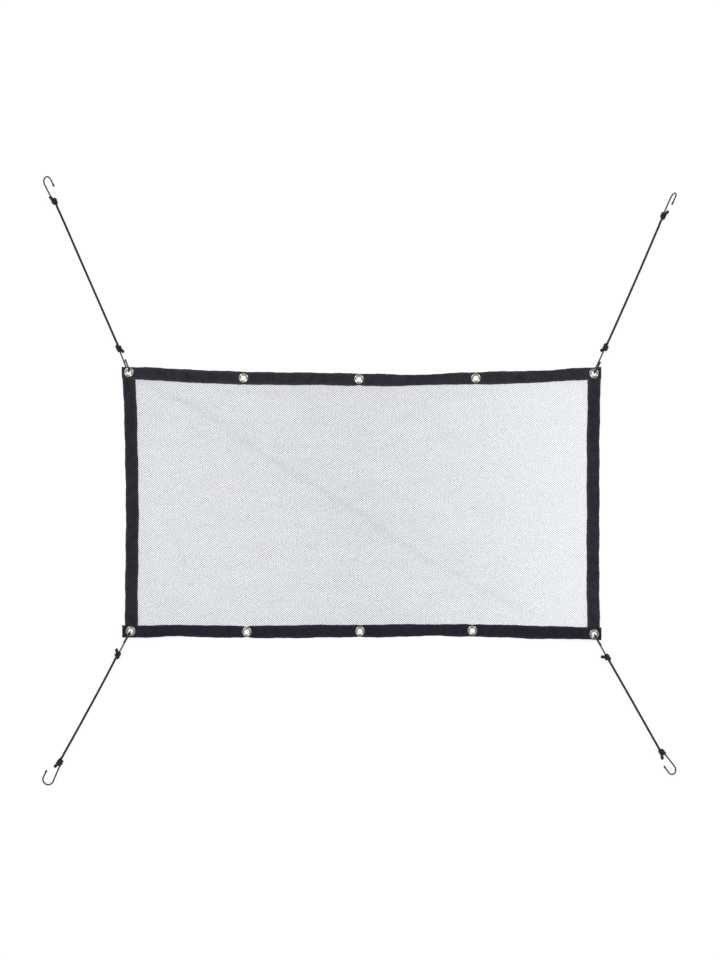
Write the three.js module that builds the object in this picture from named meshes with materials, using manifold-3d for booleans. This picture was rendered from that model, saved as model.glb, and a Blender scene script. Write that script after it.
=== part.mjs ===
// A car barrier net laid out on a floor: a see-through net panel bound in folded webbing, with ten
// eyelets and a bungee cord hooked into each corner eyelet. Millimetres, +X along the long edge, +Y from
// the bottom edge to the top edge, +Z up out of the face, and the floor at z = 0.
import * as THREE from 'three';
import { mergeVertices } from 'three/addons/utils/BufferGeometryUtils.js';
import Module from 'manifold-3d';

const { clamp, degToRad, lerp, smoothstep } = THREE.MathUtils;
const wasm = await Module();
wasm.setup();

// Clearance between pieces that touch
const GAP = 0.3;

// Net and bindings, as cut, before they are laid out
const NET_THICK = 1;
const TUCK = 3; // net edge sewn inside the fold
const BAND_WIDTH = 32;
const BAND_WALL = 1;
const BAND_ROUNDING = 0.8; // of the outer fold
const SLOT_PLAY = 0.35; // above and below the net inside the fold
const SLOT_DEPTH = TUCK + 1;
const BAND_THICK = 2 * BAND_WALL + NET_THICK + 2 * SLOT_PLAY;
const LONG_BAND_Y = 339; // centre lines of the top and bottom bindings
const SIDE_BAND_X = 612; // centre lines of the side bindings
const SEAM_GAP = 0.5; // between a side binding and the long binding it meets

// Each side binding ends in a tongue that is sewn inside the long binding's open end
const TONGUE = { from: -7, to: 15, reach: 29, thick: 1, root: 12 };
const POCKET_DEPTH = TONGUE.reach + 0.4;
const POCKET_START = { shallow: SIDE_BAND_X - 12, deep: SIDE_BAND_X - 9 };

// Eyelets, clamped on both faces of the long bindings
const HOLE_RADIUS = 6.35;
const BARREL_RADIUS = 7.05;
const BAND_HOLE_RADIUS = 7.4;
const PLUG_HEIGHT = 60; // of the solid that cuts that hole
const FLANGE_RADIUS = 13.5;
const FLANGE_THICK = 1;
const FLANGE_CROWN = 1.4; // height of the rolled face, at its highest
const FACE_EDGE = { inset: 0.4, rise: 0.5 };
const FACE_SHOULDER = 2.2;
const FACE_LIP = 1.6;
const EYELET_SEGMENTS = 16;

// Wire hooks, bent to a J, and the cord knotted round the shank's end
const WIRE_RADIUS = 1.75;
const TIP_RADIUS = 2.3; // dipped end
const TIP_LENGTH = 9;
const TIP_SHOULDER = 0.6;
const TIP_ROUNDING = 1;
const BEND_RADIUS = 14.2;
const SHANK_ASIDE = 6; // of the wire from the knot's middle
const SHANK_STUB = 9; // of the wire behind the knot's middle
const WIRE_CUT = 27; // reach of the channel cut for it, either way from there
const RIM_CLEARANCE = 0.6; // of a hook's wire from the eyelet it holds
const NEAR_LEG = 19; // from the bend to the tip's end
const FAR_LEG = 21;
const LEG_FLARE = degToRad(6);
const BEND_PARTS = 9;
const CORD_RADIUS = 3;
const TAIL_REACH = 18.5; // of the cord's free end from the knot's middle
const TAIL_RADIUS = 3.6; // of that end, cut and spread
const WIRE_SIDES = 8;
const CORD_SIDES = 8;
const CORD_STEP = 18;

// The bindings lie on the eyelets' backs, and the hooks hold the four corners higher
const BAND_BASE = FLANGE_THICK + GAP;
const CORNER_LIFT = 9;
const RIM_HEIGHT = BAND_BASE + CORNER_LIFT - GAP - FLANGE_THICK; // underside of a corner eyelet
const CORNER_FLAT = 28; // radius of the level ground round a corner eyelet
const CORNER_SPREAD = 170; // radius at which the lift has died away

// From its slot the net sags to the floor, with one soft diagonal ridge of tension
const SAG_WIDTH = 45;
const RIDGE = { from: [-561, 314], to: [487, -309], height: 4, half: 60, fade: 120 };

// Steps along the cloth
const CORNER_PARTS = 5;
const MIDDLE_STEP = 42;

// How the laid-out cloth departs from its cut rectangle
const LONG_EDGES = [
  { x: -635, top: 7.0, bottom: -1.0 },
  { x: -560, top: 5.1, bottom: -0.3 },
  { x: -480, top: 0.4, bottom: 1.7 },
  { x: -400, top: -3.3, bottom: 0.0 },
  { x: -310, top: -6.0, bottom: -1.5 },
  { x: -200, top: -8.2, bottom: -1.2 },
  { x: -80, top: -9.4, bottom: 0.3 },
  { x: 40, top: -11.4, bottom: 1.0 },
  { x: 150, top: -11.9, bottom: 2.5 },
  { x: 230, top: -9.1, bottom: 3.0 },
  { x: 320, top: -6.6, bottom: 2.3 },
  { x: 420, top: -3.8, bottom: -1.5 },
  { x: 520, top: 1.2, bottom: -3.5 },
  { x: 635, top: 5.7, bottom: -6.3 },
];
const SIDE_EDGES = [
  { y: -345, left: 2.5, right: 3.0 },
  { y: -216, left: 2.0, right: 2.3 },
  { y: -110, left: 3.2, right: 2.4 },
  { y: 0, left: 3.7, right: 2.8 },
  { y: 150, left: 1.0, right: 2.8 },
  { y: 260, left: -1.2, right: 4.1 },
  { y: 345, left: -4.5, right: 4.5 },
];

// Ends of the long bindings, which pass the side bindings by a little
const LONG_BANDS = [
  { name: 'strap_top', side: 1, from: -630.6, to: 630.3 },
  { name: 'strap_bottom', side: -1, from: -636.3, to: 632.4 },
];
const SIDE_BANDS = [
  { name: 'strap_left', side: -1 },
  { name: 'strap_right', side: 1 },
];

// Eyelets: place along the long binding, and how far outward of its centre line
const EYELETS = [
  { name: 'eyelet_top_1', side: 1, x: -612, outward: 1.5 },
  { name: 'eyelet_top_2', side: 1, x: -311, outward: -0.5 },
  { name: 'eyelet_top_3', side: 1, x: -7, outward: 1.0 },
  { name: 'eyelet_top_4', side: 1, x: 301, outward: 0 },
  { name: 'eyelet_top_5', side: 1, x: 611, outward: 0.2 },
  { name: 'eyelet_bottom_1', side: -1, x: -614, outward: -1.5 },
  { name: 'eyelet_bottom_2', side: -1, x: -307, outward: 0.3 },
  { name: 'eyelet_bottom_3', side: -1, x: -7, outward: 0.8 },
  { name: 'eyelet_bottom_4', side: -1, x: 291, outward: 1.2 },
  { name: 'eyelet_bottom_5', side: -1, x: 613, outward: 1.5 },
];

// Bungees: the far knot's place, each hook's reach from its knot's middle to the middle of its bend, the far
// hook's swing to the left of the cord's line and its roll from flat, the near hook's lean to the right,
// the angle of each knot's tail to the left of its hook, and the cord's sideways bow
const BUNGEES = [
  { corner: 'top_left', eyelet: 'eyelet_top_1', farX: -812.7, farY: 801.8, nearReach: 53.6, farReach: 53,
    swing: -2.6, roll: 40, lean: 15, nearTail: 25, farTail: 32, bow: 0.6 },
  { corner: 'top_right', eyelet: 'eyelet_top_5', farX: 800.2, farY: 762, nearReach: 60.6, farReach: 53,
    swing: -3, roll: 72, lean: 4, nearTail: -29, farTail: -19, bow: -1.8 },
  { corner: 'bottom_left', eyelet: 'eyelet_bottom_1', farX: -802, farY: -685.8, nearReach: 56.6, farReach: 55,
    swing: -3.6, roll: 0, lean: 0, nearTail: 37, farTail: -10, bow: 0.8 },
  { corner: 'bottom_right', eyelet: 'eyelet_bottom_5', farX: 794.9, farY: -660.6, nearReach: 55.6,
    farReach: 50.5, swing: 1.4, roll: 36, lean: 0, nearTail: 51, farTail: -25, bow: 0.7 },
];

// A cord's route from knot to knot: share of the way, of each knot's height still held, and of the bow
const CORD_ROUTE = [
  { along: 0.05, near: 0.86, far: 0, bow: 0.18 },
  { along: 0.10, near: 0.66, far: 0, bow: 0.36 },
  { along: 0.16, near: 0.44, far: 0, bow: 0.54 },
  { along: 0.23, near: 0.22, far: 0, bow: 0.73 },
  { along: 0.31, near: 0.07, far: 0, bow: 0.89 },
  { along: 0.40, near: 0, far: 0, bow: 0.98 },
  { along: 0.50, near: 0, far: 0, bow: 1 },
  { along: 0.60, near: 0, far: 0, bow: 0.95 },
  { along: 0.69, near: 0, far: 0, bow: 0.83 },
  { along: 0.77, near: 0, far: 0.06, bow: 0.67 },
  { along: 0.84, near: 0, far: 0.22, bow: 0.49 },
  { along: 0.90, near: 0, far: 0.50, bow: 0.32 },
  { along: 0.95, near: 0, far: 0.80, bow: 0.16 },
];
const CORD_LEAD = 8; // straight stretch at each knot
const NEAR_SLOPE = degToRad(3); // fall of a near hook from its bend to its knot

// A knot's sections from the cord's end to the hook's end: middle, half width and half thickness
const KNOT_SECTIONS = [
  { along: -11.5, middle: -0.4, wide: 3.3, thick: 3.3 },
  { along: -8.8, middle: -1.4, wide: 6.1, thick: 5.7 },
  { along: -4.8, middle: -2.2, wide: 7.9, thick: 7.2 },
  { along: 0, middle: -2.4, wide: 8.2, thick: 7.4 },
  { along: 4.8, middle: -2.6, wide: 7.8, thick: 7.1 },
  { along: 8.8, middle: -3.2, wide: 6.1, thick: 5.6 },
  { along: 11.5, middle: -3.8, wide: 3.6, thick: 3.2 },
];
const KNOT_SIDES = 12;
const KNOT_RIDGE = { depth: 0.12, lobes: 3, twist: 0.31 };
const KNOT_HALF = 11.5;
const KNOT_WIDEST = KNOT_SECTIONS.find(({ along }) => along === 0);
const TAIL_RISE = 0.2;

// Colours and finishes
const LOOKS = {
  net: { color: 0x22222a, roughness: 0.8, metalness: 0 },
  webbing: { color: 0x2c2b32, roughness: 0.85, metalness: 0 },
  brass: { color: 0xdcd2b0, roughness: 0.3, metalness: 1 },
  cord: { color: 0x1d1d21, roughness: 0.7, metalness: 0 },
  wire: { color: 0x2b2b2e, roughness: 0.35, metalness: 0.9 },
};

// Smooth curve through one column of a table
function tableCurve(rows, key, column, at) {
  const last = rows.length - 1;
  const slope = (row) => {
    const before = rows[Math.max(row - 1, 0)];
    const after = rows[Math.min(row + 1, last)];
    return (after[column] - before[column]) / (after[key] - before[key]);
  };
  let row = 0;
  while (row < last - 1 && at > rows[row + 1][key]) row += 1;
  const span = rows[row + 1][key] - rows[row][key];
  const t = clamp((at - rows[row][key]) / span, 0, 1);
  const ease = t * t * (3 - 2 * t);
  const leave = slope(row) * span * t * (1 - t) * (1 - t);
  const arrive = slope(row + 1) * span * t * t * (1 - t);
  return lerp(rows[row][column], rows[row + 1][column], ease) + leave - arrive;
}

// A point of the cut rectangle moved to where it lies in the plane of the floor
function drift(x, y) {
  const up = (y + LONG_BAND_Y) / (2 * LONG_BAND_Y);
  const across = (x + SIDE_BAND_X) / (2 * SIDE_BAND_X);
  const rise = lerp(tableCurve(LONG_EDGES, 'x', 'bottom', x), tableCurve(LONG_EDGES, 'x', 'top', x), up);
  const shift = lerp(tableCurve(SIDE_EDGES, 'y', 'left', y), tableCurve(SIDE_EDGES, 'y', 'right', y), across);
  return new THREE.Vector2(x + shift, y + rise);
}

function eyeletPlace({ x, side, outward }) {
  return drift(x, side * (LONG_BAND_Y + outward));
}

const CORNERS = BUNGEES.map(({ eyelet }) => eyeletPlace(EYELETS.find(({ name }) => name === eyelet)));

// Height that the hooks give the cloth round the corner eyelets
function cornerLift(place) {
  const nearest = Math.min(...CORNERS.map((corner) => corner.distanceTo(place)));
  return CORNER_LIFT * (1 - smoothstep(nearest, CORNER_FLAT, CORNER_SPREAD));
}

// A point of the cut cloth at height z above the bindings' underside, where it lies
function lay(x, y, z) {
  const place = drift(x, y);
  return new THREE.Vector3(place.x, place.y, BAND_BASE + cornerLift(place) + z);
}

// Faces turned outward, whichever way round the points were given
function outward(geometry) {
  const points = geometry.attributes.position;
  const index = Array.from(geometry.index.array);
  const corner = (i) => new THREE.Vector3().fromBufferAttribute(points, index[i]);
  let volume = 0;
  for (let i = 0; i < index.length; i += 3) {
    volume += corner(i).dot(corner(i + 1).cross(corner(i + 2)));
  }
  geometry.setIndex(volume < 0 ? index.reverse() : index);
  geometry.computeVertexNormals();
  return geometry;
}

// A closed solid through a row of rings that all have the contour's number of points
function loft(rings, contour) {
  const count = contour.length;
  const index = [];
  for (let ring = 0; ring + 1 < rings.length; ring += 1) {
    for (let k = 0; k < count; k += 1) {
      const a = ring * count + k;
      const b = ring * count + ((k + 1) % count);
      index.push(a, b, a + count, b, b + count, a + count);
    }
  }
  const end = (rings.length - 1) * count;
  const turn = THREE.ShapeUtils.isClockWise(contour) ? -1 : 1;
  for (const face of THREE.ShapeUtils.triangulateShape(contour, [])) {
    const [a, b, c] = turn > 0 ? face : [...face].reverse();
    index.push(a, c, b, end + a, end + b, end + c);
  }
  const geometry = new THREE.BufferGeometry().setFromPoints(rings.flat());
  geometry.setIndex(index);
  return outward(geometry);
}

function circle(sides, radius) {
  const points = [];
  for (let k = 0; k < sides; k += 1) {
    const angle = (2 * Math.PI * (k + 0.5)) / sides;
    points.push(new THREE.Vector2(radius * Math.cos(angle), radius * Math.sin(angle)));
  }
  return points;
}

// Joins and cuts
function toSolid(geometry) {
  const bare = geometry.clone();
  bare.deleteAttribute('normal');
  bare.deleteAttribute('uv');
  const merged = mergeVertices(bare, 1e-4);
  const vertProperties = new Float32Array(merged.attributes.position.array);
  const triVerts = new Uint32Array(merged.index.array);
  return new wasm.Manifold(new wasm.Mesh({ numProp: 3, vertProperties, triVerts }));
}

function toGeometry(solid) {
  const { vertProperties, triVerts } = solid.getMesh();
  const geometry = new THREE.BufferGeometry();
  geometry.setAttribute('position', new THREE.BufferAttribute(vertProperties, 3));
  geometry.setIndex(new THREE.BufferAttribute(triVerts, 1));
  geometry.computeVertexNormals();
  return geometry;
}

function mesh(name, geometry, look) {
  const piece = new THREE.Mesh(geometry, new THREE.MeshStandardMaterial(look));
  piece.name = name;
  return piece;
}

// Steps from one end of a net edge to the other, closer together near the corners
function edgeSteps(half) {
  const zone = half - (CORNER_SPREAD - BAND_WIDTH);
  const stops = [];
  for (let k = 0; k < CORNER_PARTS; k += 1) {
    stops.push(lerp(-half, -zone, k / CORNER_PARTS));
  }
  const parts = Math.ceil((2 * zone) / MIDDLE_STEP);
  for (let k = 0; k <= parts; k += 1) {
    stops.push(lerp(-zone, zone, k / parts));
  }
  for (let k = 1; k <= CORNER_PARTS; k += 1) {
    stops.push(lerp(zone, half, k / CORNER_PARTS));
  }
  return stops;
}

const INNER_X = SIDE_BAND_X - BAND_WIDTH / 2;
const INNER_Y = LONG_BAND_Y - BAND_WIDTH / 2;
const STEPS_X = edgeSteps(INNER_X);
const STEPS_Y = edgeSteps(INNER_Y);

// Height of the net's underside over the floor
function netHeight(x, y) {
  const { z } = lay(x, y, 0);
  const lift = z - BAND_BASE;
  const clearX = smoothstep(INNER_X - Math.abs(x), 0, SAG_WIDTH);
  const clearY = smoothstep(INNER_Y - Math.abs(y), 0, SAG_WIDTH);
  const held = 1 - clearX * clearY;
  const slot = BAND_BASE + BAND_WALL + SLOT_PLAY;
  const from = new THREE.Vector2(...RIDGE.from);
  const line = new THREE.Vector2(...RIDGE.to).sub(from);
  const length = line.length();
  line.normalize();
  const away = new THREE.Vector2(x, y).sub(from);
  const along = away.dot(line);
  const aside = Math.abs(away.cross(line));
  const ends = smoothstep(along, 0, RIDGE.fade) * smoothstep(length - along, 0, RIDGE.fade);
  const ridge = RIDGE.height * ends * (1 - smoothstep(aside, 0, RIDGE.half)) * (1 - held);
  return lift + held * slot + ridge;
}

function netPanel() {
  const columns = [-INNER_X - TUCK, ...STEPS_X, INNER_X + TUCK];
  const rows = [-INNER_Y - TUCK, ...STEPS_Y, INNER_Y + TUCK];
  const points = [];
  for (const y of rows) {
    for (const x of columns) {
      const place = drift(x, y);
      const height = netHeight(x, y);
      points.push(new THREE.Vector3(place.x, place.y, height));
      points.push(new THREE.Vector3(place.x, place.y, height + NET_THICK));
    }
  }
  const under = (row, column) => 2 * (row * columns.length + column);
  const index = [];
  const quad = (a, b, c, d) => index.push(a, b, c, a, c, d);
  const lastRow = rows.length - 1;
  const lastColumn = columns.length - 1;
  for (let row = 0; row < lastRow; row += 1) {
    for (let column = 0; column < lastColumn; column += 1) {
      const [a, b] = [under(row, column), under(row, column + 1)];
      const [c, d] = [under(row + 1, column + 1), under(row + 1, column)];
      quad(a + 1, b + 1, c + 1, d + 1);
      quad(a, d, c, b);
    }
  }
  const wall = (a, b) => quad(a, b, b + 1, a + 1);
  for (let column = 0; column < lastColumn; column += 1) {
    wall(under(0, column), under(0, column + 1));
    wall(under(lastRow, column + 1), under(lastRow, column));
  }
  for (let row = 0; row < lastRow; row += 1) {
    wall(under(row + 1, 0), under(row, 0));
    wall(under(row, lastColumn), under(row + 1, lastColumn));
  }
  const geometry = new THREE.BufferGeometry().setFromPoints(points);
  geometry.setIndex(index);
  return mesh('net_panel', outward(geometry), LOOKS.net);
}

// Section of folded webbing: x outward from the binding's centre line, y up, open toward the net
function bandSection(slotDepth) {
  const half = BAND_WIDTH / 2;
  const top = BAND_THICK;
  return [
    [half - BAND_ROUNDING, 0],
    [half, BAND_ROUNDING],
    [half, top - BAND_ROUNDING],
    [half - BAND_ROUNDING, top],
    [-half, top],
    [-half, top - BAND_WALL],
    [slotDepth - half, top - BAND_WALL],
    [slotDepth - half, BAND_WALL],
    [-half, BAND_WALL],
    [-half, 0],
  ].map(([x, y]) => new THREE.Vector2(x, y));
}

// Upright plug through the bindings at an eyelet
function eyeletPlug(place) {
  const plug = new THREE.CylinderGeometry(BAND_HOLE_RADIUS, BAND_HOLE_RADIUS, PLUG_HEIGHT, EYELET_SEGMENTS);
  plug.rotateX(Math.PI / 2);
  plug.translate(place.x, place.y, 0);
  return toSolid(plug);
}

function pierced(solid, eyelets) {
  return eyelets.reduce((rest, eyelet) => rest.subtract(eyeletPlug(eyeletPlace(eyelet))), solid);
}

function longBand({ name, side, from, to }) {
  const { shallow, deep } = POCKET_START;
  const stations = [from, -deep, -shallow, ...STEPS_X, shallow, deep, to];
  const rings = stations.map((x) => {
    const section = bandSection(Math.abs(x) >= deep ? POCKET_DEPTH : SLOT_DEPTH);
    return section.map((point) => lay(x, side * (LONG_BAND_Y + point.x), point.y));
  });
  const band = toSolid(loft(rings, bandSection(POCKET_DEPTH)));
  const mine = EYELETS.filter((eyelet) => eyelet.side === side);
  return mesh(name, toGeometry(pierced(band, mine)), LOOKS.webbing);
}

function tongue(side, end) {
  const low = BAND_THICK / 2 - TONGUE.thick / 2;
  const high = low + TONGUE.thick;
  const section = [
    new THREE.Vector2(TONGUE.from, low),
    new THREE.Vector2(TONGUE.to, low),
    new THREE.Vector2(TONGUE.to, high),
    new THREE.Vector2(TONGUE.from, high),
  ];
  const rings = [INNER_Y - TONGUE.root, INNER_Y, INNER_Y + TONGUE.reach].map((y) => {
    return section.map((point) => lay(side * (SIDE_BAND_X + point.x), end * y, point.y));
  });
  return toSolid(loft(rings, section));
}

function sideBand({ name, side }) {
  const reach = INNER_Y - SEAM_GAP;
  const stations = [-reach, ...STEPS_Y.slice(1, -1), reach];
  const section = bandSection(SLOT_DEPTH);
  const rings = stations.map((y) => section.map((point) => lay(side * (SIDE_BAND_X + point.x), y, point.y)));
  const band = toSolid(loft(rings, section)).add(tongue(side, -1)).add(tongue(side, 1));
  const corners = EYELETS.filter((eyelet) => eyelet.x * side > INNER_X);
  return mesh(name, toGeometry(pierced(band, corners)), LOOKS.webbing);
}

function eyeletShape() {
  const back = -GAP;
  const front = BAND_THICK + GAP;
  const profile = [
    [HOLE_RADIUS, back - FLANGE_THICK],
    [FLANGE_RADIUS, back - FLANGE_THICK],
    [FLANGE_RADIUS, back],
    [BARREL_RADIUS, back],
    [BARREL_RADIUS, front],
    [FLANGE_RADIUS, front],
    [FLANGE_RADIUS - FACE_EDGE.inset, front + FACE_EDGE.rise],
    [FLANGE_RADIUS - FACE_SHOULDER, front + FLANGE_THICK],
    [HOLE_RADIUS + FACE_LIP, front + FLANGE_CROWN],
    [HOLE_RADIUS, front + FACE_EDGE.rise],
    [HOLE_RADIUS, back - FLANGE_THICK],
  ].map(([radius, height]) => new THREE.Vector2(radius, height));
  const ring = new THREE.LatheGeometry(profile, EYELET_SEGMENTS);
  ring.rotateX(Math.PI / 2);
  return outward(ring);
}

function eyeletMesh(eyelet) {
  const piece = mesh(eyelet.name, eyeletShape(), LOOKS.brass);
  piece.position.copy(lay(eyelet.x, eyelet.side * (LONG_BAND_Y + eyelet.outward), 0));
  return piece;
}

// Angle at which the straight shank, passing beside the knot, runs off to touch the bend
function shankAngle(reach) {
  return Math.asin(BEND_RADIUS / Math.hypot(reach, SHANK_ASIDE)) - Math.atan(SHANK_ASIDE / reach);
}

// A point of the shank's line, x from the knot toward the bend and y toward the tip
function shankPoint(angle, along) {
  return new THREE.Vector2(along * Math.cos(angle), -SHANK_ASIDE - along * Math.sin(angle));
}

// A hook lies in its own plane with the knot's middle at its origin
function hookShape(reach, legLength) {
  const bend = new THREE.Vector2(reach, 0);
  const angle = shankAngle(reach);
  const rows = [];
  const add = (point, heading, radius) => rows.push({ point, heading, radius });
  add(shankPoint(angle, -SHANK_STUB), -angle, WIRE_RADIUS);
  for (let k = 0; k <= BEND_PARTS; k += 1) {
    const heading = lerp(-angle, Math.PI - LEG_FLARE, k / BEND_PARTS);
    const spoke = new THREE.Vector2(Math.sin(heading), -Math.cos(heading)).multiplyScalar(BEND_RADIUS);
    add(spoke.add(bend), heading, WIRE_RADIUS);
  }
  const { point: legStart, heading } = rows[rows.length - 1];
  const leg = new THREE.Vector2(Math.cos(heading), Math.sin(heading));
  const legPoint = (along) => leg.clone().multiplyScalar(along).add(legStart);
  add(legPoint(legLength - TIP_LENGTH), heading, WIRE_RADIUS);
  add(legPoint(legLength - TIP_LENGTH + TIP_SHOULDER), heading, TIP_RADIUS);
  add(legPoint(legLength - TIP_ROUNDING), heading, TIP_RADIUS);
  add(legPoint(legLength), heading, TIP_RADIUS / 2);
  const rings = rows.map((row) => circle(WIRE_SIDES, row.radius).map((spot) => {
    const x = row.point.x - spot.x * Math.sin(row.heading);
    const y = row.point.y + spot.x * Math.cos(row.heading);
    return new THREE.Vector3(x, y, spot.y);
  }));
  return loft(rings, circle(WIRE_SIDES, WIRE_RADIUS));
}

// A straight round bar from one point to another
function bar(from, to, radius, sides) {
  const shape = new THREE.Shape(circle(sides, radius));
  return new THREE.ExtrudeGeometry(shape, { steps: 1, extrudePath: new THREE.LineCurve3(from, to) });
}

// The lump of a knot drawn tight, with its tail, open where the hook's wire passes through
function knotShape(reach, tailDirection) {
  const rings = KNOT_SECTIONS.map(({ along, middle, wide, thick }) => {
    return circle(KNOT_SIDES, 1).map((spot) => {
      const angle = Math.atan2(spot.y, spot.x);
      const swell = 1 + KNOT_RIDGE.depth * Math.cos(KNOT_RIDGE.lobes * angle + KNOT_RIDGE.twist * along);
      return new THREE.Vector3(along, middle + wide * swell * spot.x, thick * swell * spot.y);
    });
  });
  const lump = toSolid(loft(rings, circle(KNOT_SIDES, 1)));
  const tailEnd = tailDirection.clone().multiplyScalar(TAIL_REACH);
  const tail = toSolid(bar(new THREE.Vector3(), tailEnd, TAIL_RADIUS, CORD_SIDES));
  const angle = shankAngle(reach);
  const behind = new THREE.Vector3(...shankPoint(angle, -WIRE_CUT), 0);
  const ahead = new THREE.Vector3(...shankPoint(angle, WIRE_CUT), 0);
  const wire = toSolid(bar(behind, ahead, WIRE_RADIUS + GAP, WIRE_SIDES));
  return toGeometry(lump.add(tail).subtract(wire));
}

const UP = new THREE.Vector3(0, 0, 1);

// Group with its origin at a knot, its x axis toward the middle of the bend, and its y axis toward the
// tip, rolled up from the floor on the right-hand side
function hookFrame(knot, bend, roll) {
  const along = bend.clone().sub(knot).normalize();
  const right = along.clone().cross(UP).normalize();
  const over = right.clone().cross(along);
  const toTip = right.clone().multiplyScalar(Math.cos(roll)).addScaledVector(over, Math.sin(roll));
  const across = along.clone().cross(toTip);
  const frame = new THREE.Group();
  frame.quaternion.setFromRotationMatrix(new THREE.Matrix4().makeBasis(along, toTip, across));
  frame.position.copy(knot);
  return frame;
}

// Hook and knot at one end of a cord; the tail turns to the left of the hook and a little up
function hookEnd(label, { knot, bend, roll, reach, leg, tailAngle }) {
  const frame = hookFrame(knot, bend, roll);
  const along = bend.clone().sub(knot).setZ(0).normalize();
  const tail = along.applyAxisAngle(UP, degToRad(tailAngle)).addScaledVector(UP, TAIL_RISE).normalize();
  tail.applyQuaternion(frame.quaternion.clone().invert());
  frame.add(mesh(`hook_${label}`, hookShape(reach, leg), LOOKS.wire));
  frame.add(mesh(`knot_${label}`, knotShape(reach, tail), LOOKS.cord));
  return { knot, bend, group: frame };
}

// Height of a bend whose wire touches the floor, for a knot at a given height
function bendHeight(knotHeight, reach, roll) {
  let height = WIRE_RADIUS;
  for (let pass = 0; pass < 8; pass += 1) {
    const slope = (height - knotHeight) / reach;
    height = WIRE_RADIUS + BEND_RADIUS * Math.hypot(slope, Math.sin(roll));
  }
  return height;
}

// Height of a knot's middle when it lies on the floor, rolled with its hook
function knotHeight(roll) {
  const { middle, wide, thick } = KNOT_WIDEST;
  const swell = 1 + KNOT_RIDGE.depth;
  return swell * Math.hypot(wide * Math.sin(roll), thick * Math.cos(roll)) - middle * Math.sin(roll);
}

// The near hook passes under the binding, up through the eyelet and back over it
function nearEnd({ corner, lean, nearReach: reach, nearTail: tailAngle }, eyelet, away) {
  const leanAngle = degToRad(lean);
  const height = WIRE_RADIUS + BEND_RADIUS * Math.hypot(Math.sin(NEAR_SLOPE), Math.cos(leanAngle));
  const reachIn = BEND_RADIUS - WIRE_RADIUS - RIM_CLEARANCE;
  const standOff = HOLE_RADIUS + Math.sqrt(reachIn ** 2 - (height - RIM_HEIGHT) ** 2);
  const right = away.clone().cross(UP);
  const bend = new THREE.Vector3(eyelet.x, eyelet.y, height).addScaledVector(away, standOff);
  bend.addScaledVector(right, (height - RIM_HEIGHT) * Math.tan(leanAngle));
  const knot = bend.clone().addScaledVector(away, reach * Math.cos(NEAR_SLOPE));
  knot.z -= reach * Math.sin(NEAR_SLOPE);
  const roll = Math.PI / 2 + leanAngle;
  return hookEnd(`near_${corner}`, { knot, bend, roll, reach, leg: NEAR_LEG, tailAngle });
}

// The far hook lies on the floor beside its knot
function farEnd({ corner, farX, farY, farReach: reach, swing, farTail: tailAngle, ...row }, away) {
  const roll = degToRad(row.roll);
  const knot = new THREE.Vector3(farX, farY, knotHeight(roll));
  const heading = away.clone().applyAxisAngle(UP, degToRad(swing));
  const bend = knot.clone().addScaledVector(heading, reach).setZ(bendHeight(knot.z, reach, roll));
  return hookEnd(`far_${corner}`, { knot, bend, roll, reach, leg: FAR_LEG, tailAngle });
}

// The point on a knot's axis at a distance behind it, on the cord's side
function behindKnot({ knot, bend }, distance) {
  return knot.clone().addScaledVector(bend.clone().sub(knot).normalize(), -distance);
}

function cordMesh({ corner, bow }, near, far) {
  const start = behindKnot(near, KNOT_HALF + GAP);
  const end = behindKnot(far, KNOT_HALF + GAP);
  const left = UP.clone().cross(end.clone().sub(start)).normalize();
  const floor = CORD_RADIUS;
  const points = CORD_ROUTE.map((row) => {
    const point = start.clone().lerp(end, row.along).addScaledVector(left, bow * row.bow);
    return point.setZ(floor + row.near * (start.z - floor) + row.far * (end.z - floor));
  });
  const lead = KNOT_HALF + GAP + CORD_LEAD;
  const route = [start, behindKnot(near, lead), ...points, behindKnot(far, lead), end];
  const path = new THREE.CatmullRomCurve3(route);
  const steps = Math.round(path.getLength() / CORD_STEP);
  const shape = new THREE.Shape(circle(CORD_SIDES, CORD_RADIUS));
  return mesh(`cord_${corner}`, new THREE.ExtrudeGeometry(shape, { steps, extrudePath: path }), LOOKS.cord);
}

function bungee(row) {
  const eyelet = eyeletPlace(EYELETS.find(({ name }) => name === row.eyelet));
  const away = new THREE.Vector3(row.farX - eyelet.x, row.farY - eyelet.y, 0).normalize();
  const near = nearEnd(row, eyelet, away);
  const far = farEnd(row, away);
  const group = new THREE.Group();
  group.add(near.group, cordMesh(row, near, far), far.group);
  return group;
}

// The whole part, with its origin on the floor under the middle of the cloth
const cloth = new THREE.Group();
cloth.add(netPanel(), ...LONG_BANDS.map(longBand), ...SIDE_BANDS.map(sideBand), ...EYELETS.map(eyeletMesh));
const extent = new THREE.Box3().setFromObject(cloth);
const middle = extent.getCenter(new THREE.Vector3());
const part = new THREE.Group();
part.add(cloth, ...BUNGEES.map(bungee));
part.position.set(-middle.x, -middle.y, -extent.min.z);

export default part;
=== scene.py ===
import math

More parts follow.
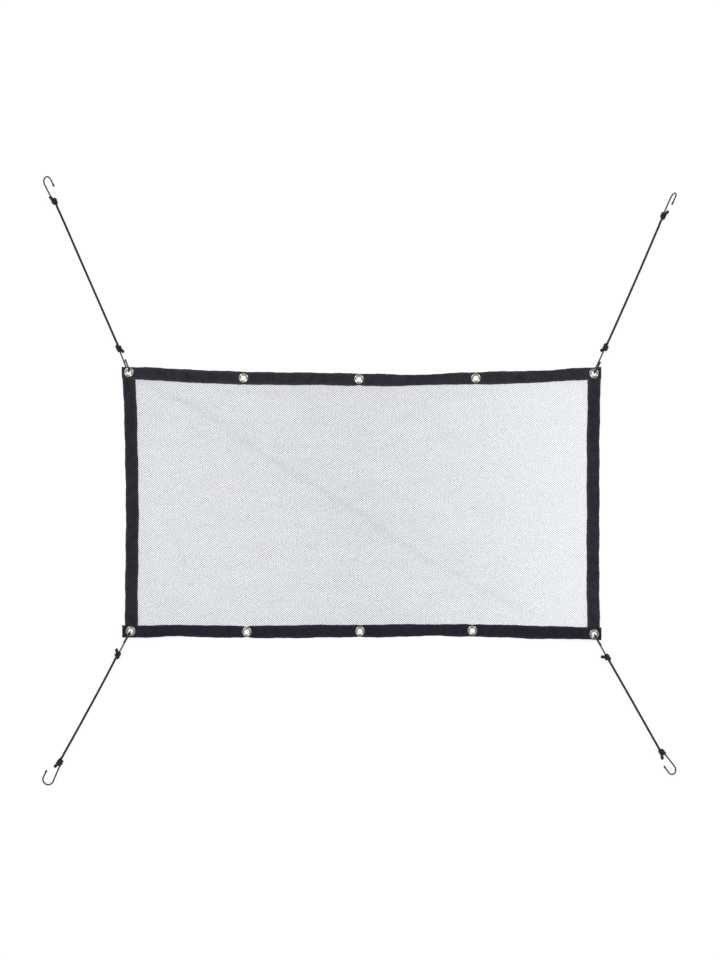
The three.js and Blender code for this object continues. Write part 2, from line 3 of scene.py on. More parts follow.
import bpy
import numpy as np
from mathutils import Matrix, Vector


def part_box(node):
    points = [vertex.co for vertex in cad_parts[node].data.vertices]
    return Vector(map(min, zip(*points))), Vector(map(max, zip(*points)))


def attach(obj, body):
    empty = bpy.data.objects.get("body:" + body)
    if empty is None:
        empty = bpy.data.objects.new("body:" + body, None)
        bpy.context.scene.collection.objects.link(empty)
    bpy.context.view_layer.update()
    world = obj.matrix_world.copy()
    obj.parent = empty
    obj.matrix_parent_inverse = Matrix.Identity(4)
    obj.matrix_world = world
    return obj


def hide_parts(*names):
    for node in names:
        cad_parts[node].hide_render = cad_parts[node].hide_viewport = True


# A car barrier net laid out on a pale floor and seen from straight above: fine black netting bound in
# folded webbing, ten eyelets, and a bungee cord hooked into each corner. Working sizes are millimetres
# in the frame of the cut cloth, and row_frame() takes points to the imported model's frame in metres.
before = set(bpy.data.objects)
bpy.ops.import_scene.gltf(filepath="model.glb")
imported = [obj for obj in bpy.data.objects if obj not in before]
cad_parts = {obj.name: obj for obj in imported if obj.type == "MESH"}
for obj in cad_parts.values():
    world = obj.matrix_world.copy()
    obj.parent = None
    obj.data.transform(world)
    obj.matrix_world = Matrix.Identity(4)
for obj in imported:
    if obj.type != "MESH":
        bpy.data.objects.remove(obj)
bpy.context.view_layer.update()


def table(columns, *rows):
    """A table's rows as dictionaries, by the names of its columns."""
    return [dict(zip(columns.split(), row)) for row in rows]


MM = 0.001
UP = np.array([0.0, 0.0, 1.0])

# Picture: the camera looks straight down on the floor
VIEW_CENTRE = (-4.07, 62.09)
VIEW_HEIGHT = 2548.0
LENS = 85.0
SENSOR = 36.0

# Net and bindings, as cut
GAP = 0.3
NET_THICK = 1.0
TUCK = 3.0
BAND_WIDTH = 32.0
BAND_HALF = BAND_WIDTH / 2
BAND_WALL = 1.0
SLOT_PLAY = 0.35
SLOT_DEPTH = TUCK + 1
BAND_THICK = 2 * BAND_WALL + NET_THICK + 2 * SLOT_PLAY
LONG_BAND_Y = 339.0
SIDE_BAND_X = 612.0
INNER_X = SIDE_BAND_X - BAND_HALF
INNER_Y = LONG_BAND_Y - BAND_HALF
NET_X = INNER_X + TUCK
NET_Y = INNER_Y + TUCK

# Eyelets
HOLE_RADIUS = 6.35
BARREL_RADIUS = 7.05
BAND_HOLE_RADIUS = 7.4
FLANGE_RADIUS = 13.5
FLANGE_THICK = 1.0
EYELET_SEGMENTS = 64

# Hooks, knots and cords
WIRE_RADIUS = 1.75
WIRE_COAT = 0.2
TIP_RADIUS = 2.3
TIP_LENGTH = 9.0
TIP_ROUNDING = 1.4
BEND_RADIUS = 14.2
SHANK_ASIDE = 6.0
SHANK_STUB = 9.0
RIM_CLEARANCE = 0.6
NEAR_LEG = 19.0
FAR_LEG = 21.0
LEG_FLARE = math.radians(6)
NEAR_SLOPE = math.radians(3)
CORD_RADIUS = 3.0
CORD_LEAD = 8.0
KNOT_HALF = 11.5
KNOT_WIDEST = {"middle": -2.4, "wide": 8.2, "thick": 7.4, "swell": 1.12}
TAIL_REACH = 18.5
TAIL_RADIUS = 4.3
TAIL_RISE = 0.2

# How the cloth lies: on the eyelets' backs, and higher where the hooks hold its corners
BAND_BASE = FLANGE_THICK + GAP
CORNER_LIFT = 9.0
RIM_HEIGHT = BAND_BASE + CORNER_LIFT - GAP - FLANGE_THICK
CORNER_FLAT = 28.0
CORNER_SPREAD = 170.0
SAG_WIDTH = 45.0
RIDGE = {"from": (-561, 314), "to": (487, -309), "height": 4.0, "half": 60.0, "fade": 120.0}

# How far the bindings' centre lines lie from straight, toward +Y and toward +X
LONG_EDGES = table(
    "x top bottom",
    (-635, 7.0, -1.0),
    (-560, 5.1, -0.3),
    (-480, 0.4, 1.7),
    (-400, -3.3, 0.0),
    (-310, -6.0, -1.5),
    (-200, -8.2, -1.2),
    (-80, -9.4, 0.3),
    (40, -11.4, 1.0),
    (150, -11.9, 2.5),
    (230, -9.1, 3.0),
    (320, -6.6, 2.3),
    (420, -3.8, -1.5),
    (520, 1.2, -3.5),
    (635, 5.7, -6.3),
)
SIDE_EDGES = table(
    "y left right",
    (-345, 2.5, 3.0),
    (-216, 2.0, 2.3),
    (-110, 3.2, 2.4),
    (0, 3.7, 2.8),
    (150, 1.0, 2.8),
    (260, -1.2, 4.1),
    (345, -4.5, 4.5),
)

# Bindings, with how much wider each is inward and outward, and where its edges' waves start
LONG_BANDS = table(
    "name side from to inner outer phase",
    ("top", 1, -630.6, 630.3, 0.6, 0.3, 3),
    ("bottom", -1, -636.3, 632.4, 0.6, 1.0, -6),
)
SIDE_BANDS = table(
    "name side inner outer phase",
    ("left", -1, 1.0, 1.0, -4),
    ("right", 1, 1.2, 0.5, 5),
)

# How far the long bindings' inner and outer edges stray outward along their length
LONG_STRAYS = table(
    "x top_inner top_outer bottom_inner bottom_outer",
    (-600, 0.3, -0.3, -0.2, -1.2),
    (-520, -1.1, 0.6, 1.0, -1.8),
    (-480, -1.0, 1.1, 1.3, -2.1),
    (-435, -0.6, 0.8, 1.1, 0.0),
    (-395, -1.2, 1.2, 1.4, 0.2),
    (-350, -1.3, 0.9, 0.6, -0.8),
    (-250, -1.1, 0.5, 0.3, 0.1),
    (-180, 0.0, 1.1, -0.8, 0.7),
    (-60, 0.0, 0.5, -0.3, 0.0),
    (30, -0.6, 0.3, 0.3, 0.4),
    (80, 0.3, -0.2, -1.2, 0.8),
    (155, 2.1, -2.1, 0.9, -1.1),
    (205, 2.6, -0.6, 0.4, -1.2),
    (265, 0.3, 0.2, 0.9, 1.0),
    (400, -0.7, 0.7, -0.3, 0.3),
    (480, 0.1, -2.0, -0.3, 1.2),
    (545, 0.1, -0.2, 0.4, -1.2),
    (605, 1.2, 0.7, -0.2, -0.7),
)

# Eyelets, with how far outward of the centre line each sits and how far it draws in the binding's edges
EYELETS = table(
    "name side x outward inner outer",
    ("top_1", 1, -612, 1.5, 0.0, 0.0),
    ("top_2", 1, -311, -0.5, 1.2, 0.4),
    ("top_3", 1, -7, 1.0, 1.6, 0.3),
    ("top_4", 1, 301, 0.0, 1.2, 0.5),
    ("top_5", 1, 611, 0.2, 0.0, 0.0),
    ("bottom_1", -1, -614, -1.5, 0.0, 0.0),
    ("bottom_2", -1, -307, 0.3, 3.0, 2.0),
    ("bottom_3", -1, -7, 0.8, 1.5, 0.8),
    ("bottom_4", -1, 291, 1.2, 1.5, 0.6),
    ("bottom_5", -1, 613, 1.5, 0.0, 0.0),
)
PINCH_WIDTH = 7.0

# Bungees: the far knot's place, each hook's reach from knot to bend, the far hook's swing to the left of
# the cord's line and its roll from flat, the near hook's lean, the angle of each knot's tail to the left
# of its hook, the cord's sideways bow, and its length in metres between the knots
BUNGEES = table(
    "corner eyelet far near_reach far_reach swing roll lean near_tail far_tail bow length",
    ("top_left", "top_1", (-812.7, 801.8), 53.6, 53.0, -2.6, 40, 15, 25, 32, 0.6, 0.403),
    ("top_right", "top_5", (800.2, 762.0), 60.6, 53.0, -3.0, 72, 4, -29, -19, -1.8, 0.358),
    ("bottom_left", "bottom_1", (-802.0, -685.8), 56.6, 55.0, -3.6, 0, 0, 37, -10, 0.8, 0.301),
    ("bottom_right", "bottom_5", (794.9, -660.6), 55.6, 50.5, 1.4, 36, 0, 51, -25, 0.7, 0.268),
)

# A cord's route from knot to knot: share of the way, of each knot's height still held, and of the bow
CORD_ROUTE = table(
    "along near far bow",
    (0.05, 0.86, 0.0, 0.18),
    (0.10, 0.66, 0.0, 0.36),
    (0.16, 0.44, 0.0, 0.54),
    (0.23, 0.22, 0.0, 0.73),
    (0.31, 0.07, 0.0, 0.89),
    (0.40, 0.0, 0.0, 0.98),
    (0.50, 0.0, 0.0, 1.0),
    (0.60, 0.0, 0.0, 0.95),
    (0.69, 0.0, 0.0, 0.83),
    (0.77, 0.0, 0.06, 0.67),
    (0.84, 0.0, 0.22, 0.49),
    (0.90, 0.0, 0.50, 0.32),
    (0.95, 0.0, 0.80, 0.16),
)

# Netting: diamond cells of straight threads, thinner to the right
CELL_WIDTH = 7.17
CELL_HEIGHT = 5.77
SLOPE = CELL_HEIGHT / CELL_WIDTH
THREAD_RADIUS = 0.352
THREAD_SIDES = 4
THREAD_APART = 0.22
THREAD_SHORTEST = 8.0
THREAD_FULLNESS = table(
    "x wide",
    (-600, 0.94), (-300, 0.97), (0, 1.00), (150, 0.95),
    (300, 0.83), (450, 0.66), (600, 0.50),
)
DARKER_PATCHES = table(
    "place reach wide",
    ((-120, 240), (210, 90), 0.045), ((-20, -60), (70, 330), 0.030),
    ((-560, -60), (90, 200), -0.025), ((-330, -200), (200, 110), -0.015),
    ((190, -80), (120, 230), -0.040), ((560, 0), (80, 400), 0.020),
)

# Steps along a thread: inside the panel, in the sag beside the bindings, and across a crease
STEP_INSIDE = 20.0
STEP_SAG = 13.0
STEP_CREASE = 5.5
STEP_LOOK = 1.5
LOOKS_LEAST = 4
CREASE_SLANT = 0.3
CREASE_REACH = 1.7

# Creases where they lie: points along each, with how strongly it gathers the threads there
CREASE_RUN = 2.0
CREASE_POINT = "x y gather"
CREASES = table(
    "width rise line",
    (20.0, 1.2, table(
        CREASE_POINT,
        (-590, 325, 0.0), (-550, 308, 0.17), (-457, 261, 0.16), (-377, 214, 0.15), (-315, 168, 0.15),
        (-209, 100, 0.19), (-103, 33, 0.21), (0, -30, 0.17), (136, -124, 0.19), (233, -175, 0.17),
        (339, -236, 0.18), (463, -294, 0.16), (525, -320, 0.0),
    )),
    (20.0, 0.8, table(
        CREASE_POINT,
        (-30, 105, 0.0), (30, 62, 0.08), (110, 18, 0.08), (200, -30, 0.06), (270, -70, 0.0),
    )),
    (18.0, 0.8, table(
        CREASE_POINT,
        (60, 200, 0.0), (95, 221, 0.09), (150, 245, 0.10), (215, 270, 0.0),
    )),
    (16.0, 0.6, table(
        CREASE_POINT,
        (185, -2, 0.0), (215, 14, 0.08), (272, 44, 0.09), (300, 60, 0.0),
    )),
    (18.0, 0.6, table(
        CREASE_POINT,
        (-540, -10, 0.0), (-519, -52, 0.08), (-484, -115, 0.09), (-461, -190, 0.06), (-440, -260, 0.0),
    )),
)

# Ripples move the threads to and fro; streaks draw rows of cells together or apart, bowed as they hang
RIPPLES = table(
    "along phase size",
    ((0.031, 0.047), 0.4, 0.55), ((-0.043, 0.024), 2.1, 0.50),
    ((0.013, -0.062), 4.4, 0.40), ((0.058, 0.011), 1.3, 0.35),
)
STREAKS = table(
    "along phase size",
    ((0.004, 0.150), 0.7, 0.16), ((-0.007, 0.119), 3.3, 0.18),
    ((0.011, 0.093), 5.2, 0.18), ((-0.013, 0.171), 2.0, 0.12),
)
STREAK_BOW = 0.00016

# Stitches, in rows beside the bindings' edges
STITCH_PITCH = 4.2
STITCH_LENGTH = 3.3
STITCH_RADIUS = 0.38
STITCH_ROW = 12.0


def smoothstep(value, low, high):
    t = np.clip((value - low) / (high - low), 0, 1)
    return t * t * (3 - 2 * t)


def unit(vector):
    return vector / np.linalg.norm(vector)


def table_curve(rows, key, column, at):
    """Smooth curve through one column of a table."""
    keys = np.array([row[key] for row in rows], float)
    values = np.array([row[column] for row in rows], float)
    slopes = np.empty_like(values)
    slopes[1:-1] = (values[2:] - values[:-2]) / (keys[2:] - keys[:-2])
    slopes[0] = (values[1] - values[0]) / (keys[1] - keys[0])
    slopes[-1] = (values[-1] - values[-2]) / (keys[-1] - keys[-2])
    row = np.clip(np.searchsorted(keys, at) - 1, 0, len(keys) - 2)
    span = keys[row + 1] - keys[row]
    t = np.clip((at - keys[row]) / span, 0, 1)
    ease = t * t * (3 - 2 * t)
    leave = slopes[row] * span * t * (1 - t) ** 2
    arrive = slopes[row + 1] * span * t * t * (1 - t)
    return values[row] + (values[row + 1] - values[row]) * ease + leave - arrive


def drift(x, y):
    """Where points of the cut rectangle lie in the plane of the floor."""
    up = (y + LONG_BAND_Y) / (2 * LONG_BAND_Y)
    across = (x + SIDE_BAND_X) / (2 * SIDE_BAND_X)
    low = table_curve(LONG_EDGES, "x", "bottom", x)
    high = table_curve(LONG_EDGES, "x", "top", x)
    left = table_curve(SIDE_EDGES, "y", "left", y)
    right = table_curve(SIDE_EDGES, "y", "right", y)
    return x + left + (right - left) * across, y + low + (high - low) * up


def eyelet_place(row):
    x, y = drift(np.array([row["x"]]), np.array([row["side"] * (LONG_BAND_Y + row["outward"])]))
    return np.array([x[0], y[0]])


EYELET_PLACES = {row["name"]: eyelet_place(row) for row in EYELETS}
CORNERS = [EYELET_PLACES[row["eyelet"]] for row in BUNGEES]


def frame_offset():
    """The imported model's shift from the frame of the cut cloth, read from one eyelet's box."""
    low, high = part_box("eyelet_top_3")
    middle = (np.array(low) + np.array(high)) / 2
    return np.append(middle[:2] - EYELET_PLACES["top_3"] * MM, 0)


OFFSET = frame_offset()


def row_frame(points):
    return np.asarray(points, float) * MM + OFFSET


def corner_lift(x, y):
    nearest = np.min([np.hypot(x - place[0], y - place[1]) for place in CORNERS], axis=0)
    return CORNER_LIFT * (1 - smoothstep(nearest, CORNER_FLAT, CORNER_SPREAD))


def lay(x, y, z):
    """Points of the cut cloth at height z above the bindings' underside, where they lie."""
    x, y, z = np.broadcast_arrays(x, y, z)
    px, py = drift(x, y)
    return np.stack([px, py, BAND_BASE + corner_lift(px, py) + z], axis=-1)


def along_ridge(x, y):
    """Distance along the ridge from its start, signed distance to its left, and the ridge's length."""
    start = np.array(RIDGE["from"], float)
    line = np.array(RIDGE["to"], float) - start
    length = np.linalg.norm(line)
    line /= length
    along = (x - start[0]) * line[0] + (y - start[1]) * line[1]
    aside = (y - start[1]) * line[0] - (x - start[0]) * line[1]
    return along, aside, length


def net_height(x, y):
    """Height of the net's underside over the floor, as in the solid."""
    lift = corner_lift(*drift(x, y))
    clear_x = smoothstep(INNER_X - np.abs(x), 0, SAG_WIDTH)
    clear_y = smoothstep(INNER_Y - np.abs(y), 0, SAG_WIDTH)
    held = 1 - clear_x * clear_y
    slot = BAND_BASE + BAND_WALL + SLOT_PLAY
    along, aside, length = along_ridge(x, y)
    ends = smoothstep(along, 0, RIDGE["fade"]) * smoothstep(length - along, 0, RIDGE["fade"])
    ridge = RIDGE["height"] * ends * (1 - smoothstep(np.abs(aside), 0, RIDGE["half"])) * (1 - held)
    return lift + held * slot + ridge


def crease_effect(row, x, y):
    """Signed distance of points from a crease's line, the line's direction there, and its strength."""
    line = row["line"]
    ahead = table_curve(line, "x", "y", x + CREASE_RUN)
    behind = table_curve(line, "x", "y", x - CREASE_RUN)
    turn = np.arctan((ahead - behind) / (2 * CREASE_RUN))
    aside = (y - table_curve(line, "x", "y", x)) * np.cos(turn)
    ends = (x > line[0]["x"]) & (x < line[-1]["x"])
    return aside, turn, table_curve(line, "x", "gather", x) * ends


def crumple(x, y):
    """The netting's own small movements where it lies, and the height that its creases add."""
    moved_x, moved_y = x.copy(), y.copy()
    rise = np.zeros_like(x)
    for row in CREASES:
        aside, turn, gather = crease_effect(row, x, y)
        near = gather * np.exp(-((aside / row["width"]) ** 2))
        pull = -near * aside
        moved_x -= pull * np.sin(turn)
        moved_y += pull * np.cos(turn)
        rise += row["rise"] * near
    inside = smoothstep(np.minimum(INNER_X - np.abs(x), INNER_Y - np.abs(y)), 0, SAG_WIDTH)
    for row in RIPPLES:
        wave = np.sin(row["along"][0] * x + row["along"][1] * y + row["phase"])
        moved_x += row["size"] * wave * inside
        moved_y += row["size"] * np.cos(row["along"][1] * x - row["along"][0] * y) * inside
    bowed = y - STREAK_BOW * x**2
    for row in STREAKS:
        wave = np.sin(row["along"][0] * x + row["along"][1] * bowed + row["phase"])
        moved_y += row["size"] * wave * inside
    return moved_x, moved_y, rise * inside


def fullness(x, y):
    """The threads' share of their full width, across the panel."""
    wide = table_curve(THREAD_FULLNESS, "x", "wide", x)
    for row in DARKER_PATCHES:
        far_x = (x - row["place"][0]) / row["reach"][0]
        far_y = (y - row["place"][1]) / row["reach"][1]
        wide = wide + row["wide"] * np.exp(-(far_x**2 + far_y**2))
    return wide


# Meshes
LEVEL_LEAST = 0.1
SHORTEST_SPAN = 1e-6


def join(parts):
    """One list of points and one of faces from several pairs of them."""
    points, faces, count = [], [], 0
    for some_points, some_faces in parts:
        points.append(some_points)
        faces += [[corner + count for corner in face] for face in some_faces]
        count += len(some_points)
    return np.concatenate(points), faces


def ring_faces(rings, sides, closed_ends=True):
    """Faces between successive rings of points, with a cap at each end."""
    ring, side = np.meshgrid(np.arange(rings - 1), np.arange(sides), indexing="ij")
    a = ring * sides + side
    b = ring * sides + (side + 1) % sides
    faces = np.stack([a, b, b + sides, a + sides], axis=-1).reshape(-1, 4).tolist()
    if closed_ends:
        last = (rings - 1) * sides
        faces.append(list(range(sides - 1, -1, -1)))
        faces.append(list(range(last, last + sides)))
    return faces


def frames_along(path):
    """Two unit normals at each point of a path, carried along it without twist."""
    tangents = np.gradient(path, axis=0)
    tangents /= np.linalg.norm(tangents, axis=1, keepdims=True)
    level = np.cross(tangents[0], UP)
    normal = unit(level if np.linalg.norm(level) > LEVEL_LEAST else np.cross(tangents[0], [1.0, 0.0, 0.0]))
    normals = []
    for tangent in tangents:
        normal = unit(normal - tangent * normal.dot(tangent))
        normals.append(normal)
    normals = np.array(normals)
    return normals, np.cross(tangents, normals)


def tube(path, radius, sides):
    """A round tube along a path; the radius is one number, or one for each ring and side."""
    path = np.asarray(path, float)
    normals, others = frames_along(path)
    angles = 2 * np.pi * np.arange(sides)[None, :, None] / sides
    radii = np.broadcast_to(radius, (len(path), sides))[..., None]
    spokes = np.cos(angles) * normals[:, None] + np.sin(angles) * others[:, None]
    points = path[:, None] + radii * spokes
    return points.reshape(-1, 3), ring_faces(len(path), sides)


def smooth_path(points, step):
    """A centripetal curve through the points, sampled at about the step."""
    points = np.asarray(points, float)
    points = np.vstack([2 * points[0] - points[1], points, 2 * points[-1] - points[-2]])
    samples = []
    for k in range(1, len(points) - 2):
        four = points[k - 1 : k + 3]
        a, b, c, d = four
        spans = np.linalg.norm(np.diff(four, axis=0), axis=1)
        knots = np.cumsum([0.0, *np.sqrt(np.maximum(spans, SHORTEST_SPAN))])
        count = max(2, round(spans[1] / step))
        t = np.linspace(knots[1], knots[2], count, endpoint=False)[:, None]
        ab = ((knots[1] - t) * a + (t - knots[0]) * b) / (knots[1] - knots[0])
        bc = ((knots[2] - t) * b + (t - knots[1]) * c) / (knots[2] - knots[1])
        cd = ((knots[3] - t) * c + (t - knots[2]) * d) / (knots[3] - knots[2])
        abc = ((knots[2] - t) * ab + (t - knots[0]) * bc) / (knots[2] - knots[0])
        bcd = ((knots[3] - t) * bc + (t - knots[1]) * cd) / (knots[3] - knots[1])
        samples.append(((knots[2] - t) * abc + (t - knots[1]) * bcd) / (knots[2] - knots[1]))
    return np.vstack(samples + [points[-2]])


def add_object(name, data):
    made = bpy.data.objects.new(name, data)
    bpy.context.scene.collection.objects.link(made)
    return made


def add_mesh(name, points, faces):
    """An object from points in metres and the faces between them."""
    mesh = bpy.data.meshes.new(name)
    mesh.from_pydata(points, [], faces)
    return add_object(name, mesh)


def make_piece(name, points, faces, material, node=None):
    """A piece of the object, smooth shaded, in place of a CAD node if one is named."""
    piece = add_mesh(name, row_frame(points).tolist(), faces)
    piece.data.shade_smooth()
    piece.data.materials.append(material)
    if node:
        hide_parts(node)
    return piece


def add_map(piece, name, places):
    """A map of a piece's surface, from a place in the map for each of its points."""
    mesh = piece.data
    corners = np.empty(len(mesh.loops), int)
    mesh.loops.foreach_get("vertex_index", corners)
    layer = mesh.uv_layers.new(name=name)
    layer.data.foreach_set("uv", places[corners].ravel())


def plan_map(piece, points):
    """A map from straight above, for pieces of very many small faces."""
    plan = points[:, :2] - points[:, :2].min(axis=0)
    add_map(piece, "OFBake", plan / plan.max())


# Materials. Wave textures turn at half rate along a diagonal
WAVE_RATE = 20.0
BRAID_BAND = 0.5


def add_node(tree, kind, inputs=None, **settings):
    """A shader node, each input linked from a socket or set to a value."""
    made = tree.nodes.new("ShaderNode" + kind)
    for setting, value in settings.items():
        setattr(made, setting, value)
    for socket, value in (inputs or {}).items():
        if isinstance(value, bpy.types.NodeSocket):
            tree.links.new(value, made.inputs[socket])
        else:
            made.inputs[socket].default_value = value
    return made


class Finish:
    """A material on one principled shader, with short ways to add and join nodes."""

    def __init__(self, name, **sockets):
        self.material = bpy.data.materials.new(name)
        self.material.use_nodes = True
        self.tree = self.material.node_tree
        self.shader = self.tree.nodes["Principled BSDF"]
        for socket, value in sockets.items():
            self.shader.inputs[socket.replace("_", " ")].default_value = value
        self.place = self.node("TexCoord").outputs["Object"]

    def node(self, kind, inputs=None, **settings):
        return add_node(self.tree, kind, inputs, **settings)

    def noise(self, scale, detail=3.0):
        sockets = {"Vector": self.place, "Scale": scale, "Detail": detail}
        return self.node("TexNoise", sockets).outputs["Fac"]

    def bands(self, direction, pitch, distortion=0.0, vector=None):
        """Even bands across a direction, of a pitch in metres or in the given vector's unit."""
        scale = 2 * math.pi / WAVE_RATE / pitch
        sockets = {"Vector": vector or self.place, "Scale": scale, "Distortion": distortion}
        made = self.node("TexWave", sockets, wave_type="BANDS", bands_direction=direction)
        return made.outputs["Fac"]

    def math(self, operation, first, second):
        return self.node("Math", {0: first, 1: second}, operation=operation).outputs[0]

    def sum(self, *parts):
        """The sum of values, each with its weight."""
        weighted = [self.math("MULTIPLY", value, weight) for value, weight in parts]
        total = weighted[0]
        for value in weighted[1:]:
            total = self.math("ADD", total, value)
        return total

    def set(self, socket, output):
        self.tree.links.new(output, self.shader.inputs[socket])

    def colour(self, value, low, high, start=0.3, end=0.7):
        """Base colour between two, as a value goes from start to end."""
        made = self.node("ValToRGB", {"Fac": value})
        for element, tone, position in zip(made.color_ramp.elements, (low, high), (start, end)):
            element.color = (*tone, 1)
            element.position = position
        self.set("Base Color", made.outputs["Color"])

    def roughness(self, value, low, high):
        """Roughness between two, as a value goes from 0 to 1."""
        made = self.node("MapRange", {"Value": value, "To Min": low, "To Max": high})
        self.set("Roughness", made.outputs["Result"])

    def bump(self, height, distance, strength):
        made = self.node("Bump", {"Height": height, "Distance": distance, "Strength": strength})
        self.set("Normal", made.outputs["Normal"])


def netting_finish():
    finish = Finish("netting", Roughness=0.75, Specular_IOR_Level=0.25)
    cloud = finish.noise(scale=180.0)
    finish.colour(cloud, low=(0.010, 0.010, 0.014), high=(0.022, 0.022, 0.029))
    finish.bump(finish.noise(scale=2600.0, detail=1.0), distance=0.00015, strength=0.6)
    return finish.material


# Webbing colours, dark and pale, and each binding's scaling of them, painted light and shade: lighter on the
# top and right bindings, darker on the bottom one, which is also made bluer
WEBBING_DARK = np.array([0.0070, 0.0067, 0.0106])
WEBBING_PALE = np.array([0.0290, 0.0279, 0.0390])
WEBBING_LOOKS = table(
    "name along across tint",
    ("top", "X", "Y", (1.35, 1.35, 1.31)),
    ("bottom", "X", "Y", (0.76, 0.76, 0.97)),
    ("left", "Y", "X", (1.08, 1.08, 1.07)),
    ("right", "Y", "X", (1.22, 1.22, 1.21)),
)


def webbing_finish(row):
    """Ribbed woven tape: ribs across its length, fine warp lines along it, paler in strips beside its edges,
    and lighter or darker for each binding as painted light and shade.
    """
    name = f"webbing_{row['name']}"
    finish = Finish(name, Roughness=0.82, Specular_IOR_Level=0.18, Sheen_Weight=0.06, Sheen_Roughness=0.5)
    ribs = finish.bands(row["along"], pitch=0.0014, distortion=0.4)
    warp = finish.bands(row["across"], pitch=0.0011, distortion=0.3)
    weave = finish.math("MULTIPLY", ribs, warp)
    cloud = finish.noise(scale=55.0, detail=4.0)
    slow = finish.bands(row["along"], pitch=0.0055, distortion=2.0)
    # Strips beside the binding's edges, marked on its points, are made paler
    pale_strip = finish.node("Attribute", attribute_name="edge").outputs["Fac"]
    tone = finish.sum((cloud, 0.5), (weave, 0.25), (slow, 0.10), (pale_strip, 0.22))
    # Each binding's scaling of both colours is painted light and shade: the same webbing made lighter or
    # darker per binding
    tint = np.array(row["tint"])
    finish.colour(tone, low=tint * WEBBING_DARK, high=tint * WEBBING_PALE, start=0.18, end=0.66)
    finish.bump(finish.sum((weave, 1.0), (cloud, 0.5)), distance=0.00035, strength=0.7)
    return finish.material


def brass_finish():
    """Pale brass under a thin lacquer."""
    finish = Finish("eyelet_brass", Metallic=1.0, Coat_Weight=0.6, Coat_Roughness=0.08)
    cloud = finish.noise(scale=240.0, detail=4.0)
    finish.colour(cloud, low=(0.262, 0.238, 0.183), high=(0.373, 0.345, 0.281), start=0.3, end=0.65)
    finish.roughness(cloud, low=0.20, high=0.10)
    finish.bump(finish.noise(scale=1500.0, detail=2.0), distance=0.00008, strength=0.4)
    return finish.material


def cord_finish():
    """Braided cover: two sets of crossing strands, with a few paler filaments."""
    finish = Finish("shock_cord", Roughness=0.7, Specular_IOR_Level=0.25, Sheen_Weight=0.05)
    around = finish.node("UVMap", uv_map="Braid").outputs["UV"]
    mirrored = finish.node("Mapping", {"Vector": around, "Scale": (1, -1, 1)}).outputs["Vector"]
    first = finish.bands("DIAGONAL", pitch=BRAID_BAND, vector=around)
    second = finish.bands("DIAGONAL", pitch=BRAID_BAND, vector=mirrored)
    strands = finish.math("MULTIPLY", first, second)
    tone = finish.sum((strands, 0.5), (finish.noise(scale=420.0), 0.5))
    finish.colour(tone, low=(0.006, 0.006, 0.008), high=(0.038, 0.038, 0.044), start=0.2, end=0.9)
    finish.bump(tone, distance=0.0004, strength=0.8)
    return finish.material


def wire_finish():
    finish = Finish("hook_wire", Specular_IOR_Level=0.3)
    cloud = finish.noise(scale=300.0, detail=4.0)
    finish.colour(cloud, low=(0.008, 0.008, 0.009), high=(0.030, 0.030, 0.033), start=0.35, end=0.75)
    finish.roughness(cloud, low=0.50, high=0.36)
    finish.bump(finish.noise(scale=1800.0, detail=2.0), distance=0.00006, strength=0.5)
    return finish.material


def dip_finish():
    finish = Finish("hook_dip", Specular_IOR_Level=0.4)
    cloud = finish.noise(scale=350.0)
    finish.colour(cloud, low=(0.008, 0.008, 0.009), high=(0.016, 0.016, 0.018))
    finish.roughness(cloud, low=0.5, high=0.35)
    finish.bump(cloud, distance=0.0002, strength=0.3)
    return finish.material


def stitch_finish():
    finish = Finish("stitching", Roughness=0.6, Specular_IOR_Level=0.3)
    twist = finish.noise(scale=1300.0, detail=2.0)
    finish.colour(twist, low=(0.014, 0.014, 0.018), high=(0.034, 0.033, 0.040))
    finish.bump(twist, distance=0.00012, strength=0.6)
    return finish.material


NETTING = netting_finish()
WEBBING = {row["name"]: webbing_finish(row) for row in WEBBING_LOOKS}
BRASS = brass_finish()
CORD = cord_finish()
WIRE = wire_finish()
DIP = dip_finish()
STITCH = stitch_finish()


# Camera
def make_camera():
    data = bpy.data.cameras.new("camera")
    data.lens = LENS
    data.sensor_width = SENSOR
    camera = add_object("camera", data)
    x, y, _ = row_frame((*VIEW_CENTRE, 0))
    camera.location = (x, y, VIEW_HEIGHT * MM * LENS / SENSOR)
    bpy.context.scene.camera = camera


make_camera()


# Bungees
WIRE_SIDES = 16
WIRE_STEP = 1.5
BEND_STEPS = 32
SETTLE_STEPS = 8
DIP_EDGE = table(
    "along radius",
    (-0.3, WIRE_RADIUS), (0.0, WIRE_RADIUS + 0.05), (0.25, WIRE_RADIUS + 0.35),
    (0.6, TIP_RADIUS), (3.0, TIP_RADIUS), (6.0, TIP_RADIUS),
)
TIP_SHARES = (0.0, 0.25, 0.5, 0.7, 0.85, 0.95, 1.0)
TIP_BLUNT = 0.01
KNOT_SIDES = 20
KNOT_STEP = 0.8
KNOT_LEAD = [(-12.5, 0.0, 0.0), (-10.6, 0.4, -0.6)]
KNOT_LAPS = table(
    "turns along wide thick",
    ((0.0, 2.4), (-8.6, 7.0), 4.6, 4.0),
    ((2.6, 4.4), (6.2, -5.4), 6.1, 5.2),
)
KNOT_STOPS = 21
TAIL_SHARES = (0.0, 0.35, 0.7, 1.0)
TAIL_SPREAD = (7.0, 13.0)
TAIL_ROUNDING = 2.6
TAIL_CUT = 0.35
CORD_SIDES = 36
CORD_STEP = 0.9
BRAID_PITCH = 9.0
BRAID_STRANDS = 8
BRAID_DEPTH = 0.08


def turned(vector, angle):
    """A level vector turned to the left."""
    cos, sin = math.cos(angle), math.sin(angle)
    return np.array([cos * vector[0] - sin * vector[1], sin * vector[0] + cos * vector[1], 0.0])


def away_from_eyelet(row):
    """Level direction from a bungee's eyelet to its far knot."""
    return unit(np.array([*(np.array(row["far"]) - EYELET_PLACES[row["eyelet"]]), 0.0]))


